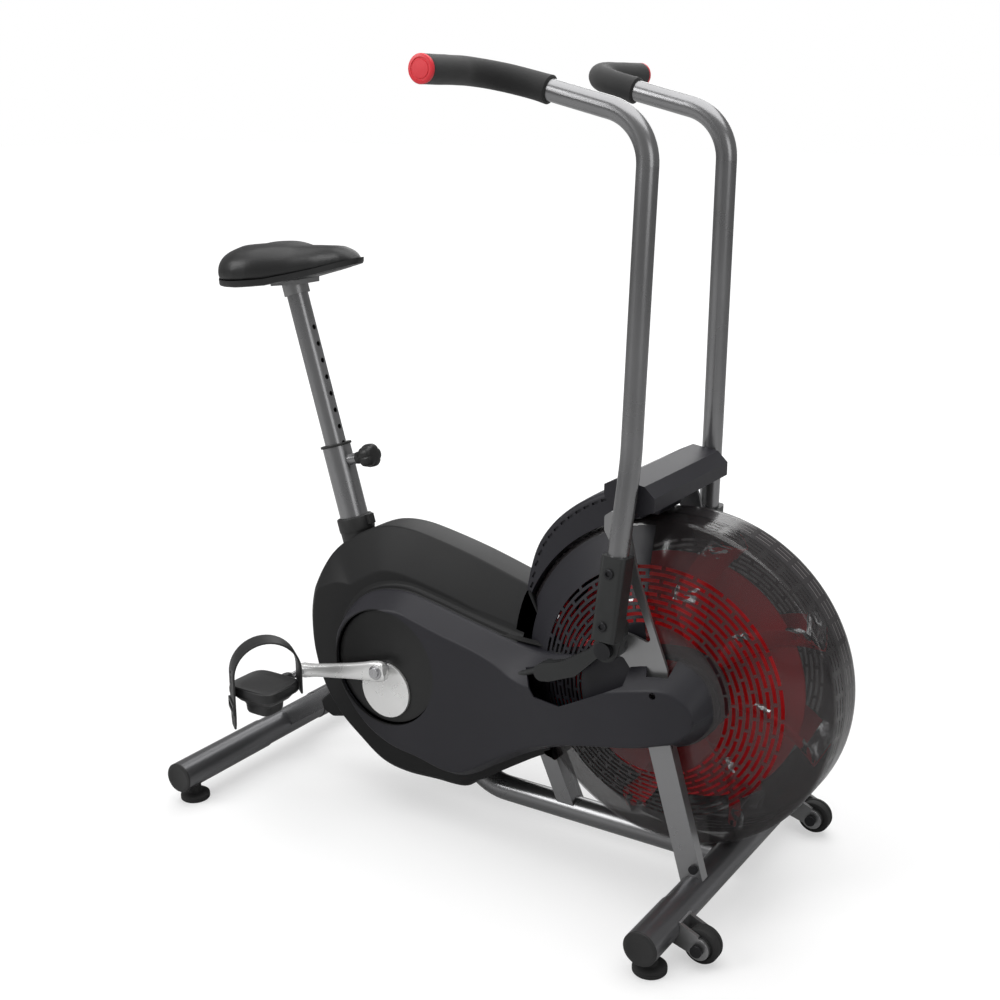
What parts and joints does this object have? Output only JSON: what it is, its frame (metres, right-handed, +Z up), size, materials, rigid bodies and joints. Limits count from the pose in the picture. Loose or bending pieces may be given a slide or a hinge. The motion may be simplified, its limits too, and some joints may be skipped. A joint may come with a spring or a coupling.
{
  "type": "air bike",
  "caption": "Upright air-resistance exercise bike with a caged fan, moving upright handles, platform pedals with straps and a height-adjustable saddle.",
  "frame": {"origin": "middle of the bike's length and width, on the floor under its feet", "axes": "+X forward from the saddle to the fan, +Y to the rider's left, +Z up"},
  "size_m": [1.192, 0.644, 1.273],
  "materials": {
    "frame_grey": "satin metallic grey paint",
    "base_grey": "satin dark metallic grey paint",
    "upright_grey": "satin light grey paint",
    "cap_black": "fine moulded texture",
    "rubber_black": "matte rubber",
    "shroud_black": "fine moulded texture",
    "panel_charcoal": "satin moulded charcoal",
    "cage_smoke": "smoked clear plastic",
    "fan_red": "gloss red paint",
    "steel": "machined steel",
    "bolt_black": "black oxide",
    "chrome": "bright crinkled foil",
    "polished_alloy": "polished",
    "disc_black": "satin black",
    "pulley_black": "moulded",
    "belt_rubber": "ribbed rubber",
    "pedal_black": "moulded",
    "strap_black": "smooth rubber strap",
    "lever_black": "satin black paint",
    "grip_foam": "closed-cell foam",
    "cap_red": "moulded red",
    "saddle_vinyl": "satin black vinyl cover",
    "clamp_steel": "black paint",
    "knob_black": "moulded",
    "screen": "clear lens over a dark display",
    "button_grey": "soft key"
  },
  "bodies": {
    "frame": {"rear_stabilizer": "base_grey", "front_stabilizer": "base_grey", "stabilizer_sleeves": "base_grey", "stabilizer_end_caps": "cap_black", "rubber_feet": "rubber_black", "main_beam": "frame_grey", "rear_neck": "frame_grey", "front_strut": "frame_grey", "seat_mast": "frame_grey", "mast_bushing": "cap_black", "mast_collar": "cap_black", "bottom_bracket": "frame_grey", "bearings": "steel", "fork_legs": "frame_grey", "upright_plates": "upright_grey", "fan_axle": "steel", "frame_bolts": "bolt_black", "shroud_left": "shroud_black", "shroud_right": "shroud_black", "accent_panel_left": "panel_charcoal", "accent_panel_right": "panel_charcoal", "fan_fender": "panel_charcoal", "cage_left": "cage_smoke", "cage_right": "cage_smoke", "console_housing": "panel_charcoal", "console_screen": "screen", "console_bracket": "panel_charcoal", "drive_belt": "belt_rubber", "wheel_brackets": "upright_grey"},
    "crank": {"crank_axle": "steel", "drive_pulley": "pulley_black", "crank_discs": "disc_black", "eccentric_caps": "polished_alloy", "crank_arms": "polished_alloy", "pedal_spindles": "steel"},
    "right_pedal": {"pedal_right": "pedal_black", "pedal_strap_right": "strap_black"},
    "left_pedal": {"pedal_left": "pedal_black", "pedal_strap_left": "strap_black"},
    "fan": {"fan_hub": "steel", "fan_pulley": "pulley_black", "fan_blades": "fan_red", "blade_clips": "chrome"},
    "right_handle": {"handlebar_right": "frame_grey", "handle_lever_right": "lever_black", "grip_right": "grip_foam", "grip_cap_right": "cap_red"},
    "left_handle": {"handlebar_left": "frame_grey", "handle_lever_left": "lever_black", "grip_left": "grip_foam", "grip_cap_left": "cap_red"},
    "right_link": {"link_rod_right": "lever_black"},
    "left_link": {"link_rod_left": "lever_black"},
    "seat": {"seat_post": "frame_grey", "saddle": "saddle_vinyl", "saddle_clamp": "clamp_steel"},
    "seat_knob": {"adjuster_knob": "knob_black"},
    "button": {"console_button": "button_grey"},
    "right_wheel": {"wheel_right": "rubber_black"},
    "left_wheel": {"wheel_left": "rubber_black"}
  },
  "joints": [
    {"name": "crank_spin", "type": "hinge", "parent": "frame", "child": "crank", "pos_m": [-0.1825, 0, 0.271], "axis": [0, 1, 0], "continuous": true},
    {"name": "fan_spin", "type": "hinge", "parent": "frame", "child": "fan", "pos_m": [0.33, 0, 0.338], "axis": [0, 1, 0], "continuous": true},
    {"name": "right_pedal_spin", "type": "hinge", "parent": "crank", "child": "right_pedal", "pos_m": [-0.34879, -0.23, 0.23566], "axis": [0, 1, 0], "continuous": true},
    {"name": "left_pedal_spin", "type": "hinge", "parent": "crank", "child": "left_pedal", "pos_m": [-0.01621, 0.23, 0.30634], "axis": [0, 1, 0], "continuous": true},
    {"name": "right_handle_swing", "type": "hinge", "parent": "frame", "child": "right_handle", "pos_m": [0.2735, -0.14, 0.421], "axis": [0, 1, 0], "range_deg": [-12, 12]},
    {"name": "left_handle_swing", "type": "hinge", "parent": "frame", "child": "left_handle", "pos_m": [0.2735, 0.14, 0.421], "axis": [0, 1, 0], "range_deg": [-12, 12]},
    {"name": "right_link_pin", "type": "hinge", "parent": "right_handle", "child": "right_link", "pos_m": [0.1525, -0.114, 0.35], "axis": [0, 1, 0], "range_deg": [-12, 12]},
    {"name": "left_link_pin", "type": "hinge", "parent": "left_handle", "child": "left_link", "pos_m": [0.1525, 0.114, 0.35], "axis": [0, 1, 0], "range_deg": [-12, 12]},
    {"name": "seat_height", "type": "slide", "parent": "frame", "child": "seat", "axis": [-0.279, 0, 0.9603], "range_m": [-0.21, 0.03]},
    {"name": "seat_pin_pull", "type": "slide", "parent": "frame", "child": "seat_knob", "axis": [0.9603, 0, 0.279], "range_m": [0, 0.01], "stiffness_N_per_m": 900},
    {"name": "button_press", "type": "slide", "parent": "frame", "child": "button", "axis": [0.4472, 0, -0.8944], "range_m": [0, 0.0015], "stiffness_N_per_m": 400},
    {"name": "right_wheel_spin", "type": "hinge", "parent": "frame", "child": "right_wheel", "pos_m": [0.4835, -0.227, 0.0315], "axis": [0, 1, 0], "continuous": true},
    {"name": "left_wheel_spin", "type": "hinge", "parent": "frame", "child": "left_wheel", "pos_m": [0.4835, 0.227, 0.0315], "axis": [0, 1, 0], "continuous": true}
  ],
  "couplings": [
    {"joint": "fan_spin", "follows": "crank_spin", "ratio": 4},
    {"joint": "right_pedal_spin", "follows": "crank_spin", "ratio": -1},
    {"joint": "left_pedal_spin", "follows": "crank_spin", "ratio": -1},
    {"joint": "left_handle_swing", "follows": "right_handle_swing", "ratio": -1},
    {"joint": "right_link_pin", "follows": "right_handle_swing", "ratio": -1},
    {"joint": "left_link_pin", "follows": "right_handle_swing", "ratio": 1}
  ]
}
